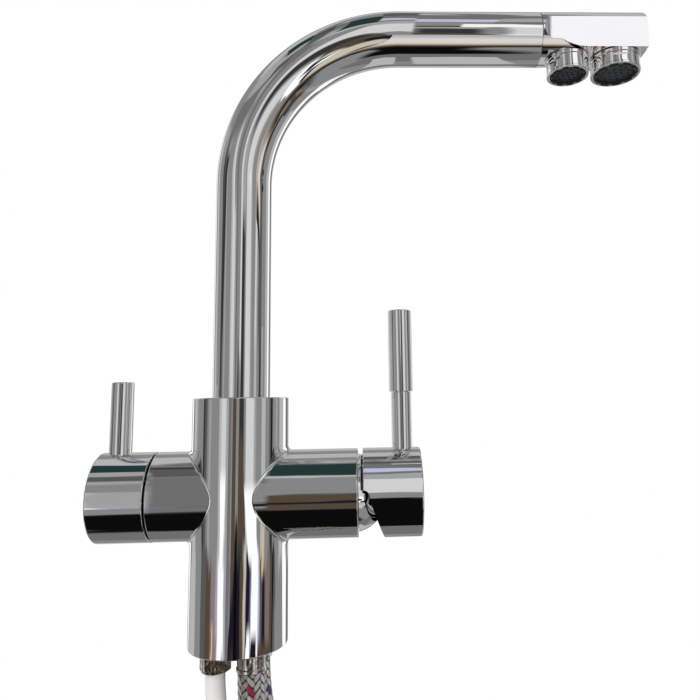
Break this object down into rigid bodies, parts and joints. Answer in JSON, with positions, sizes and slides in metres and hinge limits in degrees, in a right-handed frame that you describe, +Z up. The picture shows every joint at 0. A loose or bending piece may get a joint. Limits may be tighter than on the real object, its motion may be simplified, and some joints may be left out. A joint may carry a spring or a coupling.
{
  "type": "three way filtered water tap",
  "caption": "Deck-standing kitchen tap with a swivel spout, a tilting mixer lever on one side, a quarter-turn filtered water lever on the other, separate spout outlets and hanging tails.",
  "frame": {"origin": "centre of the flat face under the body, which stands on the worktop", "axes": "+Z up out of the worktop, +X along the mixer arm and the resting spout, -X along the filtered water arm, -Y towards the user"},
  "size_m": [0.2907, 0.0597, 0.6451],
  "materials": {
    "chrome": "polished chromium plate over brass",
    "brass": "plain machined brass",
    "dark_nickel": "dull nickel plated brass",
    "steel": "plain stainless steel",
    "ceramic": "lapped aluminium oxide ceramic",
    "rubber": "matt black rubber",
    "black_plastic": "moulded, semi-matt",
    "grey_plastic": "moulded, semi-matt",
    "white_plastic": "moulded, semi-matt",
    "white_tube": "extruded polyethylene, waxy",
    "braid": "woven stainless steel wire with a red and a blue tracer"
  },
  "bodies": {
    "root": {"tap_body": "chrome", "spout_glide_ring": "white_plastic", "spout_retaining_screw": "steel", "filtered_water_nipple": "brass", "filtered_water_seal": "rubber", "cartridge_seal": "rubber", "cartridge_base": "white_plastic", "cartridge_fixed_disc": "ceramic", "cartridge_housing": "grey_plastic", "cartridge_retaining_nut": "brass", "mixer_dome": "chrome", "filter_glide_ring": "black_plastic", "filter_valve_body": "brass", "filter_valve_seal": "rubber", "filter_fixed_disc": "ceramic", "hot_hose_tail": "brass", "hot_hose_ferrule": "steel", "hot_hose": "braid", "hot_hose_end_ferrule": "steel", "hot_hose_end_nipple": "brass", "hot_union_washer": "rubber", "cold_hose_tail": "brass", "cold_hose_ferrule": "steel", "cold_hose": "braid", "cold_hose_end_ferrule": "steel", "cold_hose_end_nipple": "brass", "cold_union_washer": "rubber", "filter_supply_fitting": "dark_nickel", "filter_compression_nut": "dark_nickel", "filter_supply_tube": "white_tube", "filter_connector_body": "white_plastic", "filter_connector_collet": "grey_plastic"},
    "spout": {"spout_tube": "chrome", "outlet_head": "chrome", "spout_base": "brass", "spout_o_ring_lower": "rubber", "spout_o_ring_upper": "rubber", "filtered_water_pipe": "white_plastic", "main_aerator_housing": "chrome", "main_aerator_insert": "black_plastic", "main_aerator_washer": "rubber", "filter_aerator_housing": "chrome", "filter_aerator_insert": "black_plastic", "filter_aerator_washer": "rubber"},
    "mixer_turret": {"cartridge_turret": "white_plastic", "cartridge_pivot_pin": "steel"},
    "mixer_lever": {"mixer_stem": "brass", "mixer_handle": "chrome", "mixer_handle_screw": "steel", "mixer_lever_rod": "chrome", "mixer_lever_grip": "chrome"},
    "mixer_disc": {"cartridge_moving_disc": "ceramic"},
    "filter_lever": {"filter_valve_spindle": "brass", "filter_moving_disc": "ceramic", "filter_handle": "chrome", "filter_handle_screw": "steel", "filter_lever_rod": "chrome"},
    "hot_nut": {"hot_union_nut": "brass"},
    "cold_nut": {"cold_union_nut": "brass"}
  },
  "joints": [
    {"name": "spout_swivel", "type": "hinge", "parent": "root", "child": "spout", "pos_m": [0, 0, 0.12], "axis": [0, 0, 1], "continuous": true},
    {"name": "mixer_turn", "type": "hinge", "parent": "root", "child": "mixer_turret", "pos_m": [0.055, 0, 0.0705], "axis": [1, 0, 0], "range_deg": [-50, 50]},
    {"name": "mixer_lift", "type": "hinge", "parent": "mixer_turret", "child": "mixer_lever", "pos_m": [0.055, 0, 0.0705], "axis": [0, 1, 0], "range_deg": [0, 25]},
    {"name": "disc_slide", "type": "slide", "parent": "mixer_turret", "child": "mixer_disc", "axis": [0, 0, 1], "range_m": [0, 0.0075]},
    {"name": "filter_turn", "type": "hinge", "parent": "root", "child": "filter_lever", "pos_m": [-0.055, 0, 0.0705], "axis": [1, 0, 0], "range_deg": [0, 90]},
    {"name": "hot_nut_turn", "type": "hinge", "parent": "root", "child": "hot_nut", "pos_m": [0.0223, -0.0182, -0.286], "axis": [0, 0, 1], "continuous": true},
    {"name": "cold_nut_turn", "type": "hinge", "parent": "root", "child": "cold_nut", "pos_m": [0.0293, 0.0175, -0.286], "axis": [0, 0, 1], "continuous": true}
  ],
  "couplings": [
    {"joint": "disc_slide", "follows": "mixer_lift", "m_per_rad": 0.0165}
  ]
}
